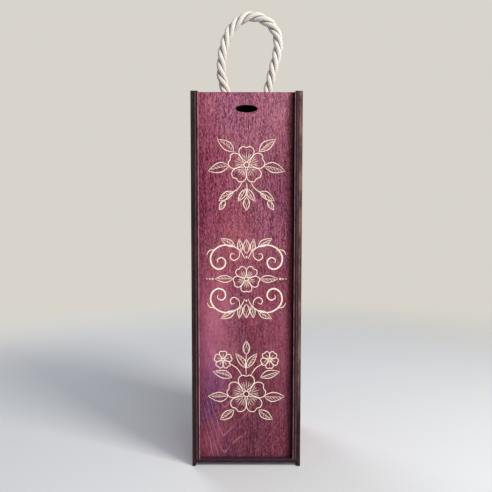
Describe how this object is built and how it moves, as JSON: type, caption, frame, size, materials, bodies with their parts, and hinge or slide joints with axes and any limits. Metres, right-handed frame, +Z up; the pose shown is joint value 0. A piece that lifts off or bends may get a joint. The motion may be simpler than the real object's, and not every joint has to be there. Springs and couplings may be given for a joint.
{
  "type": "wooden wine box",
  "caption": "Tall plywood box for one bottle with a lid sliding up between rails, an oval finger hole and a rope handle knotted under the top.",
  "frame": {"origin": "middle of the base, on the surface that the feet stand on", "axes": "+Z up, -Y towards the sliding lid at the front, +X to the right seen from the front"},
  "size_m": [0.102, 0.102, 0.4408],
  "materials": {
    "stained_ply": "purple-red stain on birch plywood, edges burnt dark by the cutting beam",
    "lid_ply": "purple-red stain on birch plywood, engraved down to pale bare wood",
    "rope": "undyed twisted rope of three strands"
  },
  "bodies": {
    "case": {"side_panel_left": "stained_ply", "side_panel_right": "stained_ply", "back_panel": "stained_ply", "bottom_panel": "stained_ply", "top_panel": "stained_ply", "front_rail_left": "stained_ply", "front_rail_right": "stained_ply", "rear_rail_left": "stained_ply", "rear_rail_right": "stained_ply", "rope_knot_left": "rope", "rope_knot_right": "rope"},
    "lid": {"lid": "lid_ply"},
    "handle": {"rope_handle": "rope"}
  },
  "joints": [
    {"name": "lid_slide", "type": "slide", "parent": "case", "child": "lid", "axis": [0, 0, 1], "range_m": [0, 0.345]},
    {"name": "handle_tilt", "type": "hinge", "parent": "case", "child": "handle", "pos_m": [0, 0, 0.3518], "axis": [-1, 0, 0], "range_deg": [-25, 85]}
  ]
}
